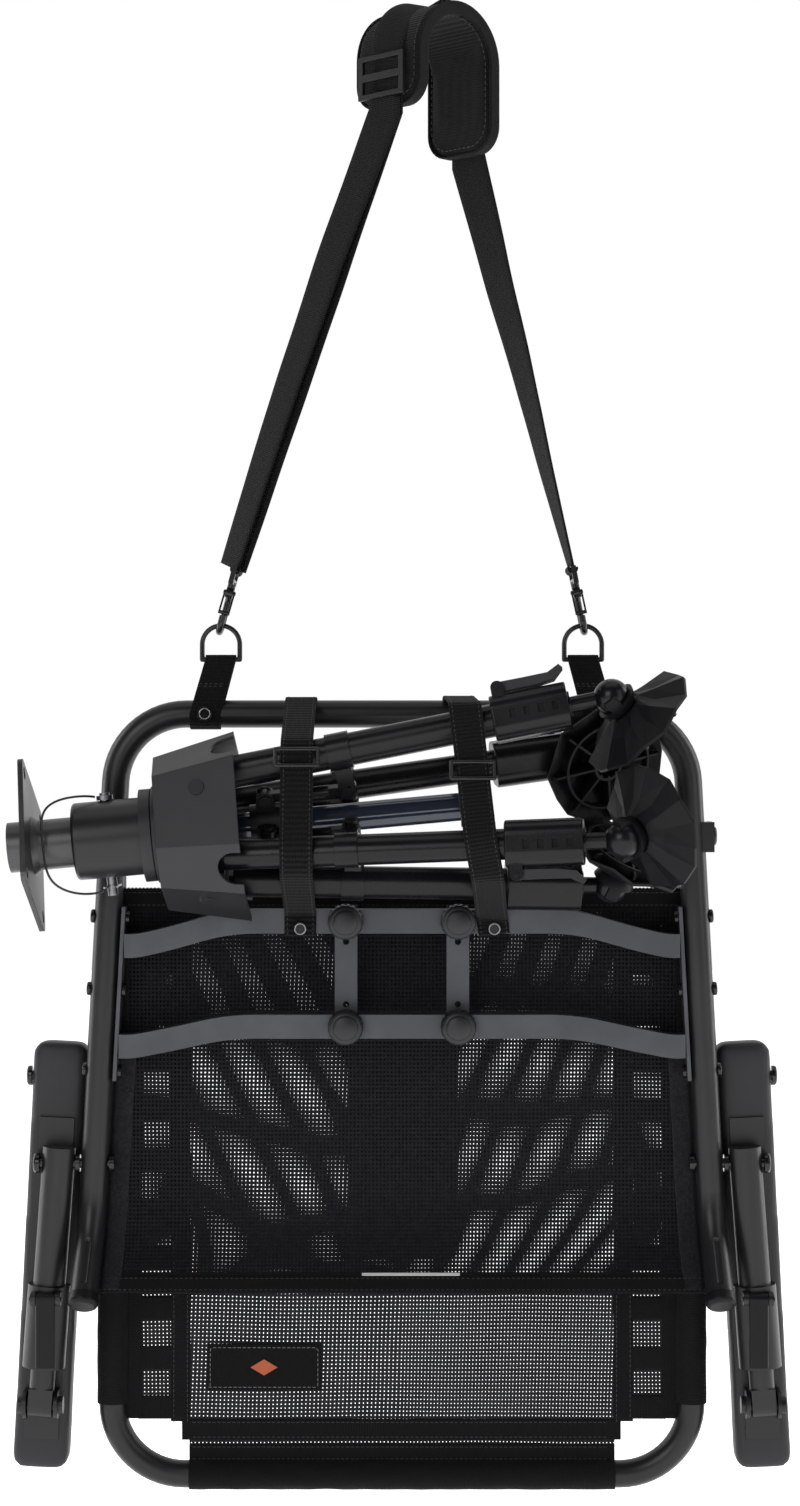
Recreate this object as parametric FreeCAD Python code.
import FreeCAD, Part
import math
import os

# Folded swivel hunting chair on its shoulder strap. The underside of the seat faces -Y, +Z is up and
# +X is to the right. The origin is the middle of the seat, in the plane of the seat's side tubes.
# All lengths are in millimetres and all angles in degrees.

V = FreeCAD.Vector
X_AXIS = V(1, 0, 0)
Y_AXIS = V(0, 1, 0)
Z_AXIS = V(0, 0, 1)
ORIGIN = V(0, 0, 0)

FIT = 0.05                   # radial clearance of a running or bolted hole

# Seat frame
TUBE_R = 11.0                # round frame tube, outer radius
TUBE_WALL = 1.8
SEAT_TOP_Z = 206.4           # centreline of the rear run
SPLAY = 3.09                 # lean of each side tube
SIDE_X = 229.0               # side tube centreline at SIDE_Z
SIDE_Z = 153.6
CORNER_R = 57.0
NOSE_Z = -200.0              # where the side tubes bend down at the front
NOSE_BEND = 35.0
NOSE_LENGTH = 64.0
NOSE_R = 80.0
CAP_R = 12.2
DIMPLE_R = 4.0               # pressed slot on the front of each nose
DIMPLE_DEPTH = 1.2
DIMPLE_FROM = 8.0
DIMPLE_TO = 42.0

# Cross bars, side plates, strips and knobs under the seat
BAR_HALF = 9.5
BAR_WALL = 1.5
BAR_Y = -22.0                # middle of a bar at its lowest point
BAR_END_Y = -2.0
BARS = ((42.0, 21.6), (-41.0, -58.4))     # height of the middle and of the ends
BAR_FLAT_X = 120.0
PLATE_T = 3.0
PLATE_HALF_Y = 9.5
PLATE_TOP_Z = 53.0
PLATE_BOTTOM_Z = -86.0
PLATE_BOLTS_Z = (44.0, -14.0, -79.0)
STRIP_X = 44.5
STRIP_HALF = 9.0
STRIP_T = 3.0
STRIP_TOP_Z = 54.0
STRIP_BOTTOM_Z = -54.0
STRIP_HOLES_Z = (25.0, -25.0)
STUD_R = 4.0
KNOB_R = 14.0
KNOB_H = 15.0
KNOB_EDGE_R = 5.0

# Seat cloth
CLOTH_T = 2.0
CLOTH_GAP = 0.4
CLOTH_TOP_Z = 67.0
CLOTH_NOSE = 60.0

# Backrest
BACK_X = 234.0
BACK_Y = 28.0
BACK_BOTTOM_Z = -408.0
BACK_CORNER_R = 58.0
HINGE_Z = 108.0
HINGE_OVER = 12.0            # tube beyond the hinge
EAR_X = (246.4, 249.4)
EAR_R = 12.0
SLEEVE_R = 13.0
SLEEVE_TOP_Z = 62.0
SLEEVE_RUN_X = 172.0
PANEL_BOTTOM_Z = -397.0
PANEL_T = 3.0

# Arm linkage: two parallel links, all four axes along X
ARM_PIVOT = (28.0, -85.6)    # y, z of the armrest axis on the backrest
PROP_PIVOT = (0.0, -152.8)   # y, z of the prop axis on the seat tube
PROP_END = (0.0, -346.4)     # y, z of the prop axis on the armrest
PROP_X = 275.0
PROP_END_X = 289.0
PROP_R = 13.0
PROP_INNER_R = 10.0
PROP_TUBE_BOTTOM_Z = -262.0
PROP_CLAMP_Z = (-316.0, -250.0)
PROP_CLAMP_R = 17.0
ARM_X = 275.6                # armrest centre at its axis
ARM_LEAN = 3.0
ARM_HALF = 22.5
ARM_Y = (16.4, 46.0)
ARM_Z = (-402.0, -58.0)
ARM_PLATE_Y = (13.3, 16.4)
ARM_CORNER_R = 10.0
ARM_RIM_R = 5.0

# Carry strap
RING_X = 144.8
RING_BAR_Z = 250.0
RING_WIRE_R = 2.0
RING_HALF = 15.0
RING_SIDE = 12.0
TAB_X = 157.0
TAB_HALF = 12.4
TAB_T = 1.2
HOOK_LEAN = (15.0, 11.0)     # left and right hook, towards the middle
HOOK_R = 2.8
HOOK_BEND_R = 8.0
WEB_W = 38.0
WEB_T = 2.2
PAD_X = 21.0
PAD_TURN = 45.0
PAD_MID_Z = 725.0
PAD_OUT_R = 45.0
PAD_IN_R = 36.0
PAD_W = 70.0
PAD_LEFT_Z = 686.0
PAD_RIGHT_Z = 658.0
PAD_CORNER_R = 20.0

# Straps that hold the folded stand
STRAP_W = 25.0
STRAP_T = 2.0
STRAP_TOP_X = (-80.4, 45.0)
STRAP_END_X = (-80.4, 73.0)
STRAP_SCREW_Z = 37.0
BUCKLE_SHARE = (0.16, 0.5)   # how far down the front of its strap each buckle sits

# Stand: its axis starts at the plate and rises to the right
STAND_X = -288.0
STAND_Y = -71.0
STAND_Z = 103.0
STAND_TILT = 5.2
LEG_ROLLS = (65.0, 155.0, -25.0, -115.0)
SHAFT_R = 19.5
SHAFT_BORE = 16.0
SHAFT_S = (-17.0, 84.0)
PLATE_SIDE = 104.0
PLATE_HOLE_PITCH = 84.0
PLATE_HOLE_R = 5.0
PLATE_ROLL = 63.0
COLLAR_R = 30.0
COLLAR_S = (34.0, 86.9)
PIN_S = 60.0
PIN_R = 4.0
FLANGE_R = 37.5
POST_R = 11.0
POST_END = 338.0
HUB_S = 135.0                # leg pivot, along the axis
HUB_R = 44.0                 # leg pivot, from the axis
SHROUD_S = (101.0, 165.0)
SHROUD_BACK = (53.0, 58.0)   # half widths of the eight faces at the back
SHROUD_FRONT = (66.0, 72.0)
SHROUD_WALL = 2.5
SLIDER_S = 184.6
SLIDER_R = 23.0
BRACKET_S = 249.0
BRACKET_R = 24.5
LEG_SPLAY = 6.67
LEG_HALF = (13.0, 11.5)      # oval leg tube: outwards, sideways
LEG_WALL = 1.7
GRIP_S = (365.0, 424.0)
GRIP_HALF = 18.0
BALL_S = (457.0, 443.0, 453.0, 448.0)
BALL_R = 14.0
NECK_R = 6.5
FOOT_TILT = (50.0, 70.0, 35.0, 62.0)
FOOT_R = 50.0
FOOT_FACES = 8
LEVER_TURN = (32.0, 17.0, -62.0, -95.0)   # side of the grip that carries the lever


def cylinder(start, end, radius):
    """Round bar between two points."""
    return Part.makeCylinder(radius, (end - start).Length, start, end - start)


def ring(start, end, outer, inner):
    """Round tube between two points."""
    step = (end - start).normalize()
    bore = cylinder(start - step, end + step, inner)
    return cylinder(start, end, outer).cut(bore)


def block(low, high):
    """Box between two corners."""
    return Part.makeBox(high[0] - low[0], high[1] - low[1], high[2] - low[2], V(*low))


def joined(shapes):
    """One solid out of pieces that touch."""
    result = shapes[0].multiFuse(shapes[1:])
    return result.removeSplitter()


def turned(shape, centre, axis, angle):
    """Copy of a shape turned about a line."""
    result = shape.copy()
    result.rotate(centre, axis, angle)
    return result


def moved(shape, step):
    """Copy of a shape moved by a vector."""
    result = shape.copy()
    result.translate(step)
    return result


def mirrored(shape):
    """Copy of a shape on the other side of the middle plane."""
    return shape.mirror(ORIGIN, X_AXIS)


def both_sides(shape):
    """A right-hand shape and its left-hand copy."""
    return [mirrored(shape), shape]


def rounded_path(points, radii):
    """Line through the points with each inner corner rounded."""
    edges = []
    start = points[0]
    for index in range(1, len(points) - 1):
        corner = points[index]
        back = (points[index - 1] - corner).normalize()
        ahead = (points[index + 1] - corner).normalize()
        angle = back.getAngle(ahead)
        reach = radii[index - 1] / math.tan(angle / 2)
        first = corner + back * reach
        last = corner + ahead * reach
        middle_way = (back + ahead).normalize()
        middle = corner + middle_way * (radii[index - 1] / math.sin(angle / 2) - radii[index - 1])
        edges.append(Part.makeLine(start, first))
        edges.append(Part.Arc(first, middle, last).toShape())
        start = last
    edges.append(Part.makeLine(start, points[-1]))
    return Part.Wire(edges)


def pipe(path, radius):
    """Round bar along a path."""
    first = path.Edges[0]
    start = first.valueAt(first.FirstParameter)
    heading = first.tangentAt(first.FirstParameter)
    section = Part.Wire([Part.makeCircle(radius, start, heading)])
    return path.makePipeShell([section], True, True)


def oval(half_z, half_y, start, end):
    """Oval bar along X."""
    if half_z > half_y:
        ellipse = Part.Ellipse(V(start, 0, half_z), V(start, half_y, 0), V(start, 0, 0))
    else:
        ellipse = Part.Ellipse(V(start, half_y, 0), V(start, 0, half_z), V(start, 0, 0))
    return Part.Face(Part.Wire([ellipse.toShape()])).extrude(V(end - start, 0, 0))


def polygon_wire(points):
    """Closed line through the points."""
    return Part.makePolygon(points + [points[0]])


def save(name, solids):
    """Write one node, as one solid or as a group of separate solids."""
    shape = solids[0] if len(solids) == 1 else Part.makeCompound(solids)
    shape.exportStep("parts/" + name + ".step")


def bolt(start, end, radius, head_r, head_h, nut_r, nut_h):
    """Bolt with its nut at the start and a domed head at the end, both outside the stated length."""
    way = (end - start).normalize()
    shaft = cylinder(start - way * nut_h, end + way * head_h, radius)
    head = cylinder(end, end + way * head_h, head_r)
    top = end + way * head_h
    head = head.makeFillet(head_h * 0.5, [e for e in head.Edges if e.CenterOfMass.distanceToPoint(top) < 0.01])
    nut = cylinder(start - way * nut_h, start, nut_r)
    return joined([shaft, head, nut])


# ---------------------------------------------------------------- seat frame

def side_x(z):
    """Side tube centreline at a height."""
    return SIDE_X + (SIDE_Z - z) * math.tan(math.radians(SPLAY))


def side_place(shape):
    """Place a shape, drawn about a tube that runs along Z, on the right side tube."""
    result = turned(shape, ORIGIN, Y_AXIS, -SPLAY)
    return moved(result, V(SIDE_X, 0, SIDE_Z))


def seat_points():
    """Corners of the seat tube's centreline, from the left nose to the right nose."""
    lean = math.radians(SPLAY)
    bend = math.radians(NOSE_BEND)
    corner = V(side_x(SEAT_TOP_Z), 0, SEAT_TOP_Z)
    nose = V(side_x(NOSE_Z), 0, NOSE_Z)
    way = V(math.sin(lean) * math.cos(bend), -math.sin(bend), -math.cos(lean) * math.cos(bend))
    tip = nose + way * NOSE_LENGTH
    right = [corner, nose, tip]
    left = [V(-p.x, p.y, p.z) for p in reversed(right)]
    return left + right, way


SEAT_POINTS, NOSE_WAY = seat_points()
SEAT_PATH = rounded_path(SEAT_POINTS, [NOSE_R, CORNER_R, CORNER_R, NOSE_R])


def plate_bolt_line(z):
    """Ends of a side plate bolt, drawn about a tube that runs along Z."""
    local = z - SIDE_Z
    return V(-TUBE_R - PLATE_T, 0, local), V(TUBE_R, 0, local)


def nose_dimple():
    """Shallow pressed slot along the front of the right nose."""
    bend = math.radians(NOSE_BEND)
    lift = V(0, -math.cos(bend), math.sin(bend)) * (TUBE_R + DIMPLE_R - DIMPLE_DEPTH)
    low = SEAT_POINTS[-1] - NOSE_WAY * DIMPLE_FROM + lift
    high = SEAT_POINTS[-1] - NOSE_WAY * DIMPLE_TO + lift
    return joined([cylinder(low, high, DIMPLE_R), Part.makeSphere(DIMPLE_R, low), Part.makeSphere(DIMPLE_R, high)])


def seat_tube():
    """Bent U of round tube with the hinge ears and dimples of the nose."""
    tube = pipe(SEAT_PATH, TUBE_R).cut(pipe(SEAT_PATH, TUBE_R - TUBE_WALL))
    ear_disc = cylinder(V(EAR_X[0], BACK_Y, HINGE_Z), V(EAR_X[1], BACK_Y, HINGE_Z), EAR_R)
    ear_arm = block((EAR_X[0], -7, HINGE_Z - EAR_R), (EAR_X[1], BACK_Y, HINGE_Z + EAR_R))
    weld = block((side_x(HINGE_Z) + 8, -7, HINGE_Z - EAR_R), (EAR_X[0] + 1, 7, HINGE_Z + EAR_R))
    weld = weld.cut(pipe(SEAT_PATH, TUBE_R - TUBE_WALL))
    ear = joined([ear_disc, ear_arm, weld])
    hole = cylinder(V(EAR_X[0] - 1, BACK_Y, HINGE_Z), V(EAR_X[1] + 1, BACK_Y, HINGE_Z), STUD_R + FIT)
    ear = ear.cut(hole)
    tube = joined([tube] + both_sides(ear))
    holes = []
    for z in PLATE_BOLTS_Z:
        start, end = plate_bolt_line(z)
        holes.append(side_place(cylinder(start, end + V(5, 0, 0), 3 + FIT)))
    pivot = V(side_x(PROP_PIVOT[1]), PROP_PIVOT[0], PROP_PIVOT[1])
    holes.append(cylinder(pivot - V(20, 0, 0), pivot + V(20, 0, 0), STUD_R + FIT))
    for hole in holes:
        tube = tube.cut(Part.makeCompound(both_sides(hole)))
    for x in (-TAB_X, TAB_X):
        tube = tube.cut(cylinder(V(x, -TUBE_R - 3, SEAT_TOP_Z), V(x, 0, SEAT_TOP_Z), 2 + FIT))
    return tube.cut(Part.makeCompound(both_sides(nose_dimple())))


def seat_end_caps():
    """Plastic caps plugged into the two noses."""
    tip = SEAT_POINTS[-1]
    plug = cylinder(tip - NOSE_WAY * 14, tip + NOSE_WAY * 0.5, TUBE_R - TUBE_WALL - FIT)
    head = cylinder(tip, tip + NOSE_WAY * 10, CAP_R)
    head = head.makeFillet(4, [e for e in head.Edges if e.CenterOfMass.distanceToPoint(tip) > 9.9])
    return both_sides(joined([plug, head]))


def seat_cloth():
    """Stretched mesh seat, fixed over the backs of the side tubes and following their front bend."""
    offset = TUBE_R + CLOTH_GAP
    bend = math.radians(NOSE_BEND)
    corner = V(0, offset, NOSE_Z - offset * math.tan(bend / 2))
    tip = corner + V(0, -math.sin(bend), -math.cos(bend)) * CLOTH_NOSE
    line = rounded_path([V(0, offset, CLOTH_TOP_Z), corner, tip], [NOSE_R + offset])
    reach = side_x(-270) + 12
    sheet = moved(line, V(-reach, 0, 0)).extrude(V(2 * reach, 0, 0))
    cloth = sheet.makeOffsetShape(CLOTH_T, 0.01, fill=True)
    if cloth.BoundBox.YMax < offset + CLOTH_T * 0.5:
        cloth = sheet.makeOffsetShape(-CLOTH_T, 0.01, fill=True)
    top = side_x(CLOTH_TOP_Z + 10) + 7
    bottom = side_x(-290) + 7
    outline = polygon_wire([V(-top, -80, CLOTH_TOP_Z + 10), V(top, -80, CLOTH_TOP_Z + 10),
                            V(bottom, -80, -290), V(-bottom, -80, -290)])
    return cloth.common(Part.Face(outline).extrude(V(0, 160, 0)))


def bar_centre(x, middle_z, end_z):
    """Middle of a cross bar at a distance from the centre plane."""
    end_x = side_x(end_z) - TUBE_R - PLATE_T
    share = (abs(x) - BAR_FLAT_X) / (end_x - BAR_FLAT_X)
    share = min(max(share, 0), 1)
    share = share * share * (3 - 2 * share)
    return V(x, BAR_Y + (BAR_END_Y - BAR_Y) * share, middle_z + (end_z - middle_z) * share)


def bar_loft(middle_z, end_z, half):
    """Square bar that bows away from the sitter between two side plates."""
    end_x = side_x(end_z) - TUBE_R - PLATE_T - 0.6
    stations = [0, 60, 100, BAR_FLAT_X, 140, 160, 180, 200, end_x]
    stations = [-x for x in reversed(stations[1:])] + stations
    wires = []
    for x in stations:
        c = bar_centre(x, middle_z, end_z)
        wires.append(polygon_wire([c + V(0, -half, -half), c + V(0, half, -half),
                                   c + V(0, half, half), c + V(0, -half, half)]))
    return Part.makeLoft(wires, True, False)


def stud_hole(x, z, radius):
    """Cylinder through the cross bar along Y."""
    return cylinder(V(x, -70, z), V(x, 8, z), radius)


def cross_bars():
    """The two square tubes under the seat."""
    bars = []
    for index, (middle_z, end_z) in enumerate(BARS):
        bar = bar_loft(middle_z, end_z, BAR_HALF).cut(bar_loft(middle_z, end_z, BAR_HALF - BAR_WALL))
        for x in (-STRIP_X, STRIP_X):
            bar = bar.cut(stud_hole(x, middle_z, STUD_R + FIT))
        if index == 0:
            for x in STRAP_END_X:
                bar = bar.cut(cylinder(V(x, -45, STRAP_SCREW_Z), V(x, BAR_Y, STRAP_SCREW_Z), 2 + FIT))
        bars.append(bar)
    return bars


def mount_plates():
    """Side plates bolted inside the side tubes, and the two upright strips behind the bars."""
    low = (-TUBE_R - PLATE_T, -PLATE_HALF_Y, PLATE_BOTTOM_Z - SIDE_Z)
    high = (-TUBE_R - 0.02, PLATE_HALF_Y, PLATE_TOP_Z - SIDE_Z)
    plate = block(low, high)
    for z in PLATE_BOLTS_Z:
        start, end = plate_bolt_line(z)
        plate = plate.cut(cylinder(start - V(1, 0, 0), end, 3 + FIT))
    solids = both_sides(side_place(plate))
    back = BAR_Y + BAR_HALF
    for x in (-STRIP_X, STRIP_X):
        strip = block((x - STRIP_HALF, back + 0.02, STRIP_BOTTOM_Z), (x + STRIP_HALF, back + STRIP_T, STRIP_TOP_Z))
        for middle_z, end_z in BARS:
            strip = strip.cut(stud_hole(x, middle_z, STUD_R + FIT))
        for z in STRIP_HOLES_Z:
            strip = strip.cut(stud_hole(x, z, 2.5))
        solids.append(strip)
    return solids


def frame_fasteners():
    """Plate bolts, backrest hinge bolts, prop pivot bolts, knob studs and strap screws."""
    solids = []
    for z in PLATE_BOLTS_Z:
        start, end = plate_bolt_line(z)
        solids += both_sides(side_place(bolt(start - V(0.05, 0, 0), end + V(0.05, 0, 0), 3, 5.5, 3, 5.5, 3)))
    hinge_in = V(BACK_X - TUBE_R - 0.3, BACK_Y, HINGE_Z)
    hinge_out = V(EAR_X[1] + 0.05, BACK_Y, HINGE_Z)
    hinge = bolt(hinge_in, hinge_out, STUD_R, 8, 5, 7, 4)
    washer = cylinder(V(BACK_X + TUBE_R + 0.1, BACK_Y, HINGE_Z), V(EAR_X[0] - 0.1, BACK_Y, HINGE_Z), 8)
    solids += both_sides(joined([hinge, washer]))
    prop_y, prop_z = PROP_PIVOT
    tube_x = side_x(prop_z)
    prop = bolt(V(tube_x - TUBE_R - 0.7, prop_y, prop_z), V(PROP_X + PROP_R + 1.6, prop_y, prop_z),
                STUD_R, 8, 5, 7, 4)
    spacer = cylinder(V(tube_x + TUBE_R + 0.8, prop_y, prop_z), V(PROP_X - PROP_R - 1.2, prop_y, prop_z), 7)
    solids += both_sides(joined([prop, spacer]))
    strip_back = BAR_Y + BAR_HALF + STRIP_T
    for x in (-STRIP_X, STRIP_X):
        for middle_z, end_z in BARS:
            stud = cylinder(V(x, BAR_Y - BAR_HALF - 11, middle_z), V(x, strip_back + 0.05, middle_z), STUD_R)
            head = cylinder(V(x, strip_back + 0.05, middle_z), V(x, strip_back + 4, middle_z), 8)
            solids.append(joined([stud, head]))
    for x in STRAP_END_X:
        z = STRAP_SCREW_Z
        face = BAR_Y - BAR_HALF - STRAP_T - 0.3
        solids.append(joined([cylinder(V(x, face - 2, z), V(x, face, z), 5),
                              cylinder(V(x, face, z), V(x, BAR_Y - 2, z), 2)]))
    for x in (-TAB_X, TAB_X):
        face = -TUBE_R - TAB_T - 0.05
        solids.append(joined([cylinder(V(x, face - 2, SEAT_TOP_Z), V(x, face, SEAT_TOP_Z), 6),
                              cylinder(V(x, face, SEAT_TOP_Z), V(x, -4, SEAT_TOP_Z), 2)]))
    return solids


def knob(x, z):
    """Domed knob with a scalloped rim, on the stud of a cross bar."""
    base = V(x, BAR_Y - BAR_HALF - 0.3, z)
    body = cylinder(base - V(0, KNOB_H, 0), base, KNOB_R)
    body = body.makeFillet(KNOB_EDGE_R, [e for e in body.Edges if abs(e.CenterOfMass.y - base.y + KNOB_H) < 0.01])
    for index in range(20):
        angle = math.radians(18 * index)
        centre = base + V(math.cos(angle), 0, math.sin(angle)) * (KNOB_R + 0.9)
        body = body.cut(cylinder(centre - V(0, KNOB_H + 1, 0), centre - V(0, 2, 0), 1.7))
    return body.cut(cylinder(base - V(0, 11.5, 0), base + V(0, 1, 0), STUD_R + FIT))


# ---------------------------------------------------------------- backrest

def back_path():
    """Centreline of the backrest tube."""
    top = HINGE_Z + HINGE_OVER
    points = [V(-BACK_X, BACK_Y, top), V(-BACK_X, BACK_Y, BACK_BOTTOM_Z),
              V(BACK_X, BACK_Y, BACK_BOTTOM_Z), V(BACK_X, BACK_Y, top)]
    return rounded_path(points, [BACK_CORNER_R, BACK_CORNER_R])


def backrest_tube():
    """Bent U of round tube, drilled for its hinge and for the armrest bolts."""
    path = back_path()
    tube = pipe(path, TUBE_R).cut(pipe(path, TUBE_R - TUBE_WALL))
    for y, z in ((BACK_Y, HINGE_Z), ARM_PIVOT):
        tube = tube.cut(cylinder(V(-BACK_X - 30, y, z), V(BACK_X + 30, y, z), STUD_R + FIT))
    return tube


def backrest_cloth():
    """Sewn cover: sleeves round the tube and a thin panel between them, open at the two lower corners."""
    inner = TUBE_R + 0.1
    side = V(BACK_X, BACK_Y, 0)
    sleeve = ring(side + V(0, 0, BACK_BOTTOM_Z + 66), side + V(0, 0, SLEEVE_TOP_Z), SLEEVE_R, inner)
    notch = cylinder(V(BACK_X, ARM_PIVOT[0], ARM_PIVOT[1]), V(BACK_X + 30, ARM_PIVOT[0], ARM_PIVOT[1]), 12)
    nut_notch = cylinder(V(BACK_X - 30, ARM_PIVOT[0], ARM_PIVOT[1]), V(BACK_X, ARM_PIVOT[0], ARM_PIVOT[1]), 12)
    run = V(0, BACK_Y, BACK_BOTTOM_Z)
    bottom = ring(run - V(SLEEVE_RUN_X, 0, 0), run + V(SLEEVE_RUN_X, 0, 0), SLEEVE_R, inner)
    edge = BACK_X - TUBE_R - 0.5
    panel = block((-edge, BACK_Y - PANEL_T / 2, BACK_BOTTOM_Z + TUBE_R + 0.5),
                  (edge, BACK_Y + PANEL_T / 2, SLEEVE_TOP_Z))
    cuts = []
    for sign in (-1, 1):
        corner = V(sign * (BACK_X - BACK_CORNER_R), 0, BACK_BOTTOM_Z + BACK_CORNER_R)
        outer = block((min(sign * 176, sign * 300), 0, -450), (max(sign * 176, sign * 300), 60, -350))
        keep = cylinder(corner, corner + V(0, 60, 0), BACK_CORNER_R - TUBE_R - 0.5)
        cuts.append(outer.cut(keep))
        cuts.append(block((min(sign * 178, sign * 220), 0, -394), (max(sign * 178, sign * 220), 60, -364)))
    panel = panel.cut(Part.makeCompound(cuts))
    pieces = [panel, bottom] + both_sides(sleeve)
    cover = joined(pieces + [block((-SLEEVE_RUN_X, BACK_Y - 1.5, BACK_BOTTOM_Z + TUBE_R + 0.3),
                                   (SLEEVE_RUN_X, BACK_Y + 1.5, BACK_BOTTOM_Z + TUBE_R + 4))]
                   + both_sides(block((edge - 3, BACK_Y - 1.5, BACK_BOTTOM_Z + 68),
                                      (BACK_X - TUBE_R - 0.2, BACK_Y + 1.5, SLEEVE_TOP_Z - 2))))
    return cover.cut(Part.makeCompound(both_sides(notch) + both_sides(nut_notch)))


def arm_half_at(z):
    """Inner and outer faces of the right armrest at a height."""
    middle = ARM_X + (ARM_PIVOT[1] - z) * math.tan(math.radians(ARM_LEAN))
    return middle - ARM_HALF, middle + ARM_HALF


def armrest_bolts():
    """Bolts that carry the armrests on the backrest tube."""
    y, z = ARM_PIVOT
    inner, outer = arm_half_at(z)
    stud = bolt(V(BACK_X - TUBE_R - 0.3, y, z), V(outer + 0.8, y, z), STUD_R, 8, 4, 7, 4)
    spacer = cylinder(V(BACK_X + TUBE_R + 0.3, y, z), V(inner - 0.8, y, z), 7)
    return both_sides(joined([stud, spacer]))


# ---------------------------------------------------------------- armrests and props

def arm_place(shape):
    """Lean a shape drawn upright about the armrest's axis point."""
    return turned(shape, V(ARM_X, 0, ARM_PIVOT[1]), Y_AXIS, -ARM_LEAN)


def armrest_pad():
    """Long rounded arm pad, drilled for its bolt."""
    pad = block((ARM_X - ARM_HALF, ARM_Y[0], ARM_Z[0]), (ARM_X + ARM_HALF, ARM_Y[1], ARM_Z[1]))
    upright = [e for e in pad.Edges if abs(e.BoundBox.YLength) > 20]
    pad = pad.makeFillet(ARM_CORNER_R, upright)
    rim = [e for e in pad.Edges if e.BoundBox.YLength < 0.01]
    pad = pad.makeFillet(ARM_RIM_R, rim)
    pad = arm_place(pad)
    hole = cylinder(V(ARM_X - 40, ARM_PIVOT[0], ARM_PIVOT[1]), V(ARM_X + 40, ARM_PIVOT[0], ARM_PIVOT[1]),
                    STUD_R + FIT)
    return pad.cut(hole)


def armrest_bracket():
    """Flat steel under the pad with two ears and the cross pin that holds the prop."""
    y, z = PROP_END
    base = block((ARM_X - 14, ARM_PLATE_Y[0], ARM_Z[0] + 25), (ARM_X + 14, ARM_PLATE_Y[1] - 0.05, ARM_Z[1] - 60))
    base = arm_place(base)
    ears = []
    for low, high in ((-14.0, -11.0), (11.0, 14.0)):
        x0 = PROP_END_X + low
        x1 = PROP_END_X + high
        disc = cylinder(V(x0, y, z), V(x1, y, z), 11)
        arm = block((x0, y, z - 11), (x1, ARM_PLATE_Y[0] + 1, z + 11))
        ears += [disc, arm]
    pin = cylinder(V(PROP_END_X - 17, y, z), V(PROP_END_X + 17, y, z), STUD_R)
    heads = [cylinder(V(PROP_END_X - 18, y, z), V(PROP_END_X - 14, y, z), 7),
             cylinder(V(PROP_END_X + 14, y, z), V(PROP_END_X + 18, y, z), 7)]
    return joined([base, pin] + ears + heads)


def prop_place(shape):
    """Place a shape drawn along Z, with z up to the prop pivot at its origin, on the right prop."""
    lean = math.degrees(math.atan2(PROP_END_X - PROP_X, PROP_PIVOT[1] - PROP_END[1]))
    result = turned(shape, ORIGIN, Y_AXIS, -lean)
    return moved(result, V(PROP_X, PROP_PIVOT[0], PROP_PIVOT[1]))


def prop_tube():
    """Outer tube of the prop, drilled at the top for its pivot."""
    length = PROP_PIVOT[1] - PROP_TUBE_BOTTOM_Z
    tube = ring(V(0, 0, -length), V(0, 0, PROP_R), PROP_R, PROP_R - 1.8)
    top = cylinder(V(0, 0, PROP_R - 2), V(0, 0, PROP_R), PROP_R)
    tube = prop_place(joined([tube, top]))
    hole = cylinder(V(PROP_X - 30, PROP_PIVOT[0], PROP_PIVOT[1]), V(PROP_X + 30, PROP_PIVOT[0], PROP_PIVOT[1]),
                    STUD_R + FIT)
    return tube.cut(hole)


def prop_inner():
    """Inner tube of the prop, with the eye for the cross pin at its end."""
    end = math.hypot(PROP_END_X - PROP_X, PROP_PIVOT[1] - PROP_END[1])
    tube = ring(V(0, 0, -end + 11), V(0, 0, -70), PROP_INNER_R, PROP_INNER_R - 1.8)
    eye = block((-PROP_INNER_R + 0.4, -9.5, -end), (PROP_INNER_R - 0.4, 9.5, -end + 14))
    tip = cylinder(V(-PROP_INNER_R + 0.4, 0, -end), V(PROP_INNER_R - 0.4, 0, -end), 9.5)
    shape = prop_place(joined([tube, eye, tip]))
    hole = cylinder(V(PROP_END_X - 30, PROP_END[0], PROP_END[1]), V(PROP_END_X + 30, PROP_END[0], PROP_END[1]),
                    STUD_R + FIT)
    return shape.cut(hole)


PROP_LEVER_AXIS = (-22.0, -258.0)     # y, z of the prop clamp lever's pin


def prop_clamp():
    """Clamp collar where the two prop tubes meet, with the lugs and pin of its lever."""
    low = PROP_CLAMP_Z[0] - PROP_PIVOT[1]
    high = PROP_CLAMP_Z[1] - PROP_PIVOT[1]
    step = PROP_TUBE_BOTTOM_Z - PROP_PIVOT[1]
    body = cylinder(V(0, 0, low), V(0, 0, high), PROP_CLAMP_R)
    body = body.common(block((-PROP_CLAMP_R, -PROP_CLAMP_R, low), (PROP_CLAMP_R, PROP_R, high)))
    body = body.cut(cylinder(V(0, 0, step - 0.2), V(0, 0, high + 1), PROP_R + FIT))
    body = body.cut(cylinder(V(0, 0, low - 1), V(0, 0, step), PROP_INNER_R + FIT))
    body = prop_place(body)
    y, z = PROP_LEVER_AXIS
    middle = PROP_X + (PROP_PIVOT[1] - z) * (PROP_END_X - PROP_X) / (PROP_PIVOT[1] - PROP_END[1])
    lugs = []
    for low_x, high_x in ((-12.0, -8.0), (8.0, 12.0)):
        lug = joined([cylinder(V(middle + low_x, y, z), V(middle + high_x, y, z), 5),
                      block((middle + low_x, y, z - 5), (middle + high_x, -13.4, z + 5))])
        lugs.append(lug)
    pin = cylinder(V(middle - 13, y, z), V(middle + 13, y, z), 2)
    return joined([body, pin] + lugs)


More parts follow.
